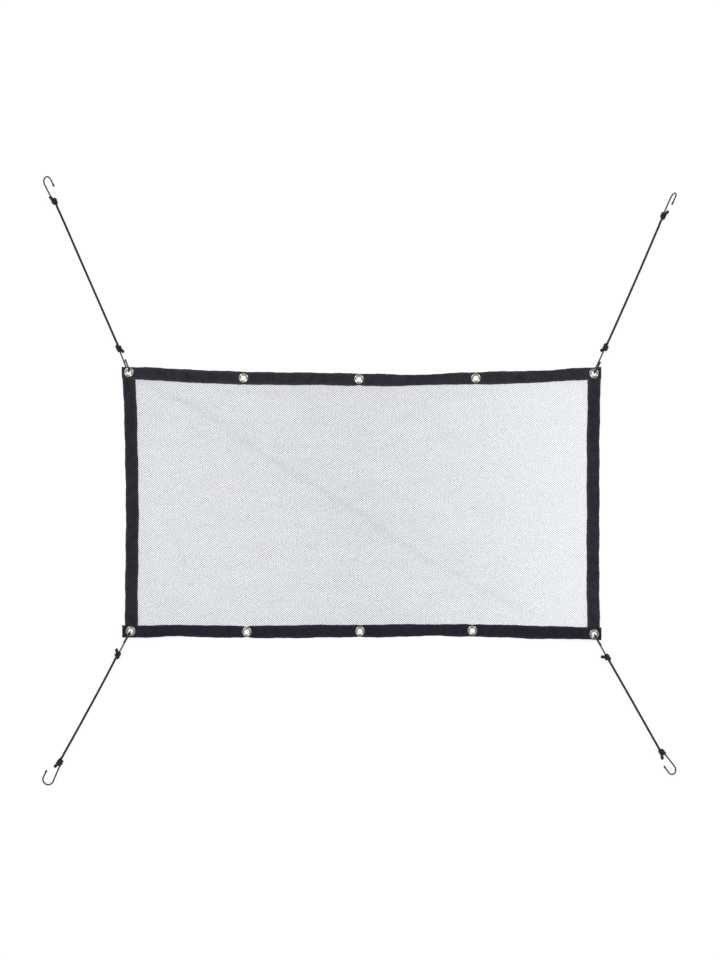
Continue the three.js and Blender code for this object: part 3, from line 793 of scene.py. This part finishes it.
def hook_axes(end):
    """Columns: toward the bend, toward the tip, and across the hook's plane."""
    along = unit(end["bend"] - end["knot"])
    right = unit(np.cross(along, UP))
    over = np.cross(right, along)
    to_tip = right * math.cos(end["roll"]) + over * math.sin(end["roll"])
    return np.column_stack([along, to_tip, np.cross(along, to_tip)])


def near_end(row):
    """Knot, bend and roll of the hook that passes up through the corner eyelet."""
    away = away_from_eyelet(row)
    lean = math.radians(row["lean"])
    height = WIRE_RADIUS + BEND_RADIUS * math.hypot(math.sin(NEAR_SLOPE), math.cos(lean))
    reach_in = BEND_RADIUS - WIRE_RADIUS - RIM_CLEARANCE
    stand_off = HOLE_RADIUS + math.sqrt(reach_in**2 - (height - RIM_HEIGHT) ** 2)
    bend = np.array([*EYELET_PLACES[row["eyelet"]], height]) + away * stand_off
    bend += np.cross(away, UP) * (height - RIM_HEIGHT) * math.tan(lean)
    reach = row["near_reach"]
    knot = bend + away * reach * math.cos(NEAR_SLOPE)
    knot[2] -= reach * math.sin(NEAR_SLOPE)
    roll = math.pi / 2 + lean
    return dict(knot=knot, bend=bend, roll=roll, reach=reach, leg=NEAR_LEG, tail=row["near_tail"])


def far_end(row):
    """Knot, bend and roll of the free hook, which lies on the floor."""
    roll = math.radians(row["roll"])
    wide = KNOT_WIDEST["wide"] * math.sin(roll)
    thick = KNOT_WIDEST["thick"] * math.cos(roll)
    rest = KNOT_WIDEST["swell"] * math.hypot(wide, thick) - KNOT_WIDEST["middle"] * math.sin(roll)
    knot = np.array([*row["far"], rest])
    reach = row["far_reach"]
    height = WIRE_RADIUS
    for _ in range(SETTLE_STEPS):
        slope = (height - rest) / reach
        height = WIRE_RADIUS + BEND_RADIUS * math.hypot(slope, math.sin(roll))
    bend = knot + turned(away_from_eyelet(row), math.radians(row["swing"])) * reach
    bend[2] = height
    return dict(knot=knot, bend=bend, roll=roll, reach=reach, leg=FAR_LEG, tail=row["far_tail"])


def hook_line(reach, leg_length):
    """The wire's line in the hook's own plane, and its radius at each point."""
    bend = np.array([reach, 0.0])
    angle = math.asin(BEND_RADIUS / math.hypot(reach, SHANK_ASIDE)) - math.atan(SHANK_ASIDE / reach)
    stub = np.array([math.cos(angle), -math.sin(angle)]) * -SHANK_STUB + [0.0, -SHANK_ASIDE]
    headings = np.linspace(-angle, math.pi - LEG_FLARE, BEND_STEPS)
    arc = bend + BEND_RADIUS * np.column_stack([np.sin(headings), -np.cos(headings)])
    shank_steps = int(np.linalg.norm(arc[0] - stub) / WIRE_STEP)
    shank = stub + (arc[0] - stub) * np.linspace(0, 1, shank_steps, endpoint=False)[:, None]
    leg = np.array([math.cos(headings[-1]), math.sin(headings[-1])])
    dip = leg_length - TIP_LENGTH
    close = leg_length - TIP_ROUNDING
    stops = [dip / 2] + [dip + row["along"] for row in DIP_EDGE]
    stops += [close + TIP_ROUNDING * share for share in TIP_SHARES]
    swell = [WIRE_RADIUS] + [row["radius"] for row in DIP_EDGE]
    swell += [TIP_RADIUS * math.sqrt(max(1 - share**2, TIP_BLUNT)) for share in TIP_SHARES]
    plane = np.vstack([shank, arc, arc[-1] + leg * np.array(stops)[:, None]])
    radii = np.concatenate([np.full(len(shank) + len(arc), WIRE_RADIUS), swell])
    return np.column_stack([plane, np.zeros(len(plane))]), radii


def make_hook(label, end):
    line, radii = hook_line(end["reach"], end["leg"])
    line = line @ hook_axes(end).T + end["knot"] + UP * WIRE_COAT
    points, faces = tube(line, radii[:, None] + WIRE_COAT, WIRE_SIDES)
    piece = make_piece(f"wire_{label}", points, faces, WIRE, f"hook_{label}")
    piece.data.materials.append(DIP)
    dipped = np.argmax(radii > WIRE_RADIUS) * WIRE_SIDES
    for face in piece.data.polygons:
        face.material_index = int(min(face.vertices) >= dipped)
    return piece


def make_braid(name, path, radius, sides, node):
    """A tube with the low relief of a braided cover, and the map that the braid's colour follows."""
    steps = np.linalg.norm(np.diff(path, axis=0), axis=1)
    along = np.cumsum([0.0, *steps])[:, None] / BRAID_PITCH
    around = BRAID_STRANDS * np.arange(sides)[None, :] / sides
    relief = np.sin(2 * np.pi * (along + around)) * np.sin(2 * np.pi * (along - around))
    points, faces = tube(path, radius * (1 - BRAID_DEPTH * (1 - relief) / 2), sides)
    piece = make_piece(name, points, faces, CORD, node)
    add_map(piece, "Braid", np.stack(np.broadcast_arrays(along, around), axis=-1).reshape(-1, 2))
    return piece


def knot_path(end, axes):
    """The cord's end wound forward round the wire, back over its own turns, and out as a free tail."""
    away = unit((end["bend"] - end["knot"]) * [1, 1, 0])
    tail = axes.T @ unit(turned(away, math.radians(end["tail"])) + UP * TAIL_RISE)
    points = [KNOT_LEAD]
    for lap in KNOT_LAPS:
        turns = 2 * np.pi * np.linspace(*lap["turns"], KNOT_STOPS)
        along = np.linspace(*lap["along"], KNOT_STOPS)
        across = KNOT_WIDEST["middle"] + lap["wide"] * np.cos(turns)
        points.append(np.column_stack([along, across, lap["thick"] * np.sin(turns)]))
    points.append([tail * share * TAIL_REACH for share in TAIL_SHARES])
    return smooth_path(np.vstack(points), KNOT_STEP)


def tail_swell(path):
    """The cord's radius along a knot, spread toward its cut end and rounded there."""
    steps = np.linalg.norm(np.diff(path, axis=0), axis=1)
    left = np.concatenate([np.cumsum(steps[::-1])[::-1], [0.0]])
    spread = CORD_RADIUS + (TAIL_RADIUS - CORD_RADIUS) * (1 - smoothstep(left, *TAIL_SPREAD))
    rounding = np.sqrt(1 - (1 - np.minimum(left / TAIL_ROUNDING, 1)) ** 2)
    return spread * (TAIL_CUT + (1 - TAIL_CUT) * rounding)


def make_knot(label, end):
    axes = hook_axes(end)
    path = knot_path(end, axes) @ axes.T + end["knot"]
    return make_braid(f"tied_{label}", path, tail_swell(path)[:, None], KNOT_SIDES, f"knot_{label}")


def behind_knot(end, distance):
    return end["knot"] - unit(end["bend"] - end["knot"]) * distance


def cord_path(row, near, far):
    start = behind_knot(near, KNOT_HALF + GAP)
    finish = behind_knot(far, KNOT_HALF + GAP)
    left = unit(np.cross(UP, finish - start))
    points = []
    for stop in CORD_ROUTE:
        point = start + (finish - start) * stop["along"] + left * row["bow"] * stop["bow"]
        rise = stop["near"] * (start[2] - CORD_RADIUS) + stop["far"] * (finish[2] - CORD_RADIUS)
        point[2] = CORD_RADIUS + rise
        points.append(point)
    lead = KNOT_HALF + GAP + CORD_LEAD
    route = [start, behind_knot(near, lead), *points, behind_knot(far, lead), finish]
    return smooth_path(route, CORD_STEP)


def make_bungee(row):
    corner = row["corner"]
    near, far = near_end(row), far_end(row)
    path = cord_path(row, near, far)
    piece = make_braid(f"bungee_{corner}", path, CORD_RADIUS, CORD_SIDES, f"cord_{corner}")
    ends = []
    for label, end in ((f"near_{corner}", near), (f"far_{corner}", far)):
        ends += [make_hook(label, end), make_knot(label, end)]
    for each in (piece, *ends):
        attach(each, "root")


for bungee in BUNGEES:
    make_bungee(bungee)


# Netting
def thread_ends(turn, offset):
    """Where a thread's line enters and leaves the cut panel."""
    crossings = sorted([(-NET_Y - offset) / (turn * SLOPE), (NET_Y - offset) / (turn * SLOPE)])
    return max(-NET_X, crossings[0]), min(NET_X, crossings[1])


def thread_stops(turn, offset):
    """Places along a thread, closer together in the sag and across the creases."""
    start, end = thread_ends(turn, offset)
    stretch = math.hypot(1, SLOPE)
    length = (end - start) * stretch
    if length < THREAD_SHORTEST:
        return None
    x = np.linspace(start, end, max(LOOKS_LEAST, math.ceil(length / STEP_LOOK)))
    y = turn * SLOPE * x + offset
    edge = np.minimum(INNER_X - np.abs(x), INNER_Y - np.abs(y))
    step = np.where(edge < SAG_WIDTH, STEP_SAG, STEP_INSIDE)
    heading = math.atan(turn * SLOPE)
    for row in CREASES:
        aside, line_turn, gather = crease_effect(row, *drift(x, y))
        across = np.maximum(np.abs(np.sin(heading - line_turn)), CREASE_SLANT)
        close = (np.abs(aside) < CREASE_REACH * row["width"]) & (gather > 0)
        step = np.where(close, np.minimum(step, STEP_CREASE / across), step)
    effort = np.cumsum([0.0, *(np.diff(x) * stretch / ((step[1:] + step[:-1]) / 2))])
    stops = np.interp(np.linspace(0, effort[-1], math.ceil(effort[-1]) + 1), effort, x)
    return stops, turn * SLOPE * stops + offset


def thread(turn, offset):
    """One thread's tube, on its side of the sheet's middle."""
    stops = thread_stops(turn, offset)
    if stops is None:
        return None
    px, py, rise = crumple(*drift(*stops))
    pz = net_height(*stops) + NET_THICK / 2 + rise + turn * THREAD_APART
    path = np.column_stack([px, py, pz])
    return tube(path, THREAD_RADIUS * fullness(px, py)[:, None], THREAD_SIDES)


def make_netting():
    lines = math.ceil((NET_Y + SLOPE * NET_X) / CELL_HEIGHT)
    offsets = [number * CELL_HEIGHT for number in range(-lines, lines + 1)]
    made = [thread(turn, offset) for turn in (1, -1) for offset in offsets]
    points, faces = join([each for each in made if each])
    piece = make_piece("netting", points, faces, NETTING, "net_panel")
    plan_map(piece, points)
    return piece


# Bindings
RING_STEP = 3.0
FOLD_DEPTH = 1.7
FOLD_PARTS = 6
CROWN = 0.22
LIP_ROUND = 0.3
STITCH_DIP = 0.2
STITCH_DIP_WIDTH = 0.8
TOP_STOPS = [13.4, 12.7, 12.0, 11.3, 9.0, 6.0, 3.0, 0.0, -3.0, -6.0, -9.0, -11.3, -12.0, -12.7, -14.4, -15.6]
EDGE_WAVES = table("length size phase", (47.0, 0.28, 0.3), (19.0, 0.14, 1.9), (131.0, 0.55, 4.1))
OUTER_PACE = 1.3
PLUG_HEIGHTS = (-30.0, 60.0)
PALE_STRIP_START = STITCH_ROW - 1.0
PALE_STRIP_END = STITCH_ROW + 1.5
TONGUE_THICK = 1.4
TONGUE_REACH = 3.0
SEAM_START = INNER_Y - 0.8
SEAM_END = INNER_Y - 0.2
SEAM_CLEARANCE = 1.0


def face_height(across):
    """Height of the webbing's face over the binding's underside, drawn in by the rows of stitches."""
    crown = CROWN * (1 - (across / STITCH_ROW) ** 2)
    dip = STITCH_DIP * math.exp(-(((abs(across) - STITCH_ROW) / STITCH_DIP_WIDTH) ** 2))
    return BAND_THICK + max(crown, 0) - dip


def binding_section():
    """Closed outline of folded webbing: outward from the centre line, and up."""
    middle = BAND_THICK / 2
    turns = np.linspace(0, np.pi / 2, FOLD_PARTS)
    fold = [(BAND_HALF - FOLD_DEPTH * (1 - math.cos(t)), middle + middle * math.sin(t)) for t in turns]
    face = [(stop, face_height(stop)) for stop in TOP_STOPS]
    wall = BAND_THICK - BAND_WALL
    lip = [(-BAND_HALF, BAND_THICK - LIP_ROUND), (-BAND_HALF, wall + LIP_ROUND)]
    inside = [(LIP_ROUND - BAND_HALF, wall), (SLOT_DEPTH - BAND_HALF, wall)]
    upper = fold + face + lip + inside
    lower = [(across, BAND_THICK - height) for across, height in reversed(upper[1:])]
    return np.array(upper + lower)


def edge_shifts(band, along, eyelets):
    """How far the inner and outer edges stray outward from straight, along a binding."""
    inner = np.full_like(along, -band["inner"])
    outer = np.full_like(along, band["outer"])
    for wave in EDGE_WAVES:
        turn = 2 * np.pi * along / wave["length"] + wave["phase"] + band["phase"]
        inner += wave["size"] * np.sin(turn)
        outer += wave["size"] * np.cos(OUTER_PACE * turn)
    if band in LONG_BANDS:
        inner += table_curve(LONG_STRAYS, "x", f"{band['name']}_inner", along)
        outer += table_curve(LONG_STRAYS, "x", f"{band['name']}_outer", along)
    for row in eyelets:
        near = np.exp(-(((along - row["x"]) / PINCH_WIDTH) ** 2))
        inner += row["inner"] * near
        outer -= row["outer"] * near
    return inner, outer


def strayed(across, inner, outer):
    """Places across a binding, moved with its two edges."""
    share = (across + BAND_HALF) / BAND_WIDTH
    return across + inner * (1 - share) + outer * share


def binding_rings(band, along, eyelets):
    """Each ring's points: along, outward from the centre line, and up."""
    section = binding_section()
    inner, outer = edge_shifts(band, along, eyelets)
    across = strayed(section[None, :, 0], inner[:, None], outer[:, None])
    height = np.repeat(section[None, :, 1], len(along), axis=0)
    return np.repeat(along[:, None], len(section), axis=1), across, height


def even_steps(start, end, step):
    return np.linspace(start, end, math.ceil((end - start) / step) + 1)


def band_eyelets(band):
    return [row for row in EYELETS if row["side"] == band["side"]]


def cut_holes(piece, eyelets):
    """Cuts the eyelets' holes through a binding."""
    angles = np.linspace(0, 2 * np.pi, EYELET_SEGMENTS, endpoint=False)
    rim = BAND_HOLE_RADIUS * np.column_stack([np.cos(angles), np.sin(angles)])
    plugs = []
    for row in eyelets:
        plan = EYELET_PLACES[row["name"]] + rim
        rings = [np.column_stack([plan, np.full(len(plan), height)]) for height in PLUG_HEIGHTS]
        plugs.append((row_frame(np.vstack(rings)), ring_faces(2, len(rim))))
    points, faces = join(plugs)
    cutter = add_mesh("plugs", points.tolist(), faces)
    cut = piece.modifiers.new("holes", "BOOLEAN")
    cut.operation = "DIFFERENCE"
    cut.solver = "EXACT"
    cut.object = cutter
    evaluated = piece.evaluated_get(bpy.context.evaluated_depsgraph_get())
    pierced = bpy.data.meshes.new_from_object(evaluated)
    piece.modifiers.remove(cut)
    piece.data = pierced
    bpy.data.objects.remove(cutter)


def make_binding(band, points, across, inside_out):
    """A binding from its rings, with the strips beside its edges marked for its material to make paler."""
    name = band["name"]
    faces = ring_faces(*across.shape)
    if inside_out:
        faces = [face[::-1] for face in faces]
    points = points.reshape(-1, 3)
    piece = make_piece(f"binding_{name}", points, faces, WEBBING[name], f"strap_{name}")
    pale_strip = piece.data.attributes.new("edge", "FLOAT", "POINT")
    pale_strip.data.foreach_set("value", smoothstep(np.abs(across).ravel(), PALE_STRIP_START, PALE_STRIP_END))
    return piece


def make_long_binding(band):
    eyelets = band_eyelets(band)
    along, across, height = binding_rings(band, even_steps(band["from"], band["to"], RING_STEP), eyelets)
    points = lay(along, band["side"] * (LONG_BAND_Y + across), height)
    piece = make_binding(band, points, across, band["side"] < 0)
    cut_holes(piece, eyelets)
    return piece


def make_side_binding(band):
    """A side binding, thinned at each end where it is tucked into the long one."""
    reach = INNER_Y + TONGUE_REACH
    plain = even_steps(-reach, reach, RING_STEP)
    plain = plain[np.abs(plain) < SEAM_START - SEAM_CLEARANCE]
    seam = np.array([SEAM_START, SEAM_END, reach])
    along, across, height = binding_rings(band, np.concatenate([-seam[::-1], plain, seam]), [])
    middle = BAND_THICK / 2
    tucked = smoothstep(np.abs(along), SEAM_START, SEAM_END)
    height = middle + (height - middle) * (1 - tucked * (1 - TONGUE_THICK / BAND_THICK))
    points = lay(band["side"] * (SIDE_BAND_X + across), along, height)
    return make_binding(band, points, across, band["side"] > 0)


# Stitching
STITCH_SIDES = 5
STITCH_RINGS = table("along swell", (-0.36, 0.72), (0.0, 1.0), (0.36, 0.72))
EYELET_CLEARANCE = FLANGE_RADIUS + 2.5
LONG_ROW_START = 5.0
SIDE_ROW_START = 4.0
STITCH_PROUD = STITCH_RADIUS / 3


def stitch_shape():
    """One stitch lying along x: a short rounded grain."""
    angles = 2 * np.pi * np.arange(STITCH_SIDES) / STITCH_SIDES
    points = []
    for ring in STITCH_RINGS:
        radius = STITCH_RADIUS * ring["swell"]
        along = np.full(STITCH_SIDES, ring["along"] * STITCH_LENGTH)
        points.append(np.column_stack([along, radius * np.cos(angles), radius * np.sin(angles)]))
    points.append([(side * STITCH_LENGTH / 2, 0, -STITCH_RADIUS / 2) for side in (-1, 1)])
    faces = ring_faces(len(STITCH_RINGS), STITCH_SIDES, closed_ends=False)
    first = len(STITCH_RINGS) * STITCH_SIDES
    last = first - STITCH_SIDES
    for k in range(STITCH_SIDES):
        after = (k + 1) % STITCH_SIDES
        faces.append([after, k, first])
        faces.append([last + k, last + after, first + 1])
    return np.vstack(points), faces


def stitch_middles(band, eyelets):
    """Where along a binding its stitches lie, clear of the eyelets."""
    if band in SIDE_BANDS:
        return np.arange(-INNER_Y + SIDE_ROW_START, INNER_Y - SIDE_ROW_START, STITCH_PITCH)
    middles = np.arange(band["from"] + LONG_ROW_START, band["to"] - LONG_ROW_START, STITCH_PITCH)
    nearest = np.min([np.abs(middles - row["x"]) for row in eyelets], axis=0)
    return middles[nearest > EYELET_CLEARANCE]


def stitch_rows():
    """Every stitch of the rows beside both edges of each binding's two faces, where it lies."""
    grain, faces = stitch_shape()
    made = []
    for band in LONG_BANDS + SIDE_BANDS:
        long = band in LONG_BANDS
        eyelets = band_eyelets(band) if long else []
        middles = stitch_middles(band, eyelets)
        edges = edge_shifts(band, middles, eyelets)
        centre = LONG_BAND_Y if long else SIDE_BAND_X
        along = middles[:, None] + grain[None, :, 0]
        for row in (-STITCH_ROW, STITCH_ROW):
            across = band["side"] * (centre + strayed(row, *edges)[:, None]) + grain[None, :, 1]
            top = face_height(row) + STITCH_PROUD
            for face, up in ((1, top), (-1, BAND_THICK - top)):
                height = up + face * grain[None, :, 2]
                points = lay(along, across, height) if long else lay(across, along, height)
                facing = faces if (face > 0) == long else [each[::-1] for each in faces]
                made += [(stitch, facing) for stitch in points]
    return join(made)


def make_stitching():
    points, faces = stitch_rows()
    piece = make_piece("stitching", points, faces, STITCH)
    plan_map(piece, points)
    return piece


# Eyelets: the turned profile, from the bore's back round the barrel and face to the bore
FACE = BAND_THICK + GAP
RIM = FLANGE_RADIUS - 0.5
BORE = HOLE_RADIUS + 0.3
EYELET_PROFILE = table(
    "radius height",
    (BORE, -GAP - 0.75),
    (BORE + 0.3, -GAP - FLANGE_THICK),
    (RIM - 0.4, -GAP - FLANGE_THICK),
    (RIM, -GAP - 0.6),
    (RIM - 0.2, -GAP),
    (BARREL_RADIUS, -GAP),
    (BARREL_RADIUS, FACE),
    (RIM - 0.3, FACE),
    (RIM, FACE + 0.2),
    (RIM - 0.15, FACE + 0.5),
    (RIM - 0.6, FACE + 0.85),
    (RIM - 1.3, FACE + 1.12),
    (RIM - 2.1, FACE + 1.25),
    (RIM - 2.9, FACE + 1.2),
    (RIM - 3.6, FACE + 1.0),
    (RIM - 4.2, FACE + 0.72),
    (RIM - 4.6, FACE + 0.66),
    (BORE + 2.1, FACE + 0.85),
    (BORE + 1.6, FACE + 1.2),
    (BORE + 1.05, FACE + 1.4),
    (BORE + 0.5, FACE + 1.25),
    (BORE + 0.12, FACE + 0.8),
    (BORE, FACE - 0.2),
)


def make_eyelet(row):
    angles = np.linspace(0, 2 * np.pi, EYELET_SEGMENTS, endpoint=False)[:, None]
    radii = np.array([stop["radius"] for stop in EYELET_PROFILE])[None, :]
    heights = np.array([stop["height"] for stop in EYELET_PROFILE])[None, :]
    rings = np.stack(np.broadcast_arrays(radii * np.cos(angles), radii * np.sin(angles), heights), axis=-1)
    points = lay(row["x"], row["side"] * (LONG_BAND_Y + row["outward"]), 0.0) + rings.reshape(-1, 3)
    faces = np.array(ring_faces(EYELET_SEGMENTS + 1, len(EYELET_PROFILE), closed_ends=False)) % len(points)
    name = row["name"]
    return make_piece(f"grommet_{name}", points, faces.tolist(), BRASS, f"eyelet_{name}")


netting = make_netting()
bindings = [make_long_binding(band) for band in LONG_BANDS]
bindings += [make_side_binding(band) for band in SIDE_BANDS]
stitching = make_stitching()
eyelets = [make_eyelet(row) for row in EYELETS]
for piece in (netting, *bindings, stitching, *eyelets):
    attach(piece, "root")

# Floor and light
FLOOR_REACH = 30.0
FLOOR_TONE = 0.18
FLOOR_GLOW = 0.83
FLOOR_TINT = (1.0, 1.02, 1.06)
SKY_STOPS = table("rise glow", (0.0, 0.10), (0.35, 0.35), (0.75, 0.90), (1.0, 0.80))
SKY_HALFWAY = 0.5
SKY_LEAN = 0.4
LAMPS = table(
    "name place power",
    ("lamp_left", (-3.2, 3.4, 6.0), 150.0),
    ("lamp_right", (3.4, 3.0, 6.0), 130.0),
)
LAMP_SIZE = 2.4


def make_floor():
    finish = Finish("floor", Roughness=0.9, Specular_IOR_Level=0.0, Emission_Strength=FLOOR_GLOW)
    finish.shader.inputs["Base Color"].default_value = (*(FLOOR_TONE * part for part in FLOOR_TINT), 1)
    finish.shader.inputs["Emission Color"].default_value = (*FLOOR_TINT, 1)
    sides = [(-1, -1), (1, -1), (1, 1), (-1, 1)]
    corners = [(x * FLOOR_REACH, y * FLOOR_REACH, 0) for x, y in sides]
    floor = add_mesh("floor", corners, [(0, 1, 2, 3)])
    floor.data.materials.append(finish.material)


def make_sky():
    """A soft studio round the floor, dim at the horizon and brighter toward the top edge."""
    world = bpy.data.worlds.new("sky")
    bpy.context.scene.world = world
    world.use_nodes = True
    tree = world.node_tree
    place = add_node(tree, "TexCoord").outputs["Generated"]
    parts = add_node(tree, "SeparateXYZ", {0: place}).outputs
    ramp = add_node(tree, "ValToRGB", {"Fac": parts["Z"]})
    lean = add_node(tree, "Math", {0: parts["Y"], 1: SKY_LEAN, 2: 1.0}, operation="MULTIPLY_ADD")
    background = tree.nodes["Background"].inputs
    tree.links.new(ramp.outputs["Color"], background["Color"])
    tree.links.new(lean.outputs[0], background["Strength"])
    stops = ramp.color_ramp.elements
    while len(stops) < len(SKY_STOPS):
        stops.new(SKY_HALFWAY)
    for stop, row in zip(stops, SKY_STOPS):
        stop.position = row["rise"]
        stop.color = (row["glow"], row["glow"], row["glow"], 1)


def make_lamp(row):
    data = bpy.data.lights.new(row["name"], "AREA")
    data.size = LAMP_SIZE
    data.energy = row["power"]
    lamp = add_object(row["name"], data)
    lamp.location = row["place"]
    lamp.rotation_euler = (-Vector(row["place"])).to_track_quat("-Z", "Y").to_euler()


make_floor()
make_sky()
for lamp_row in LAMPS:
    make_lamp(lamp_row)
bpy.context.scene.view_settings.view_transform = "Standard"
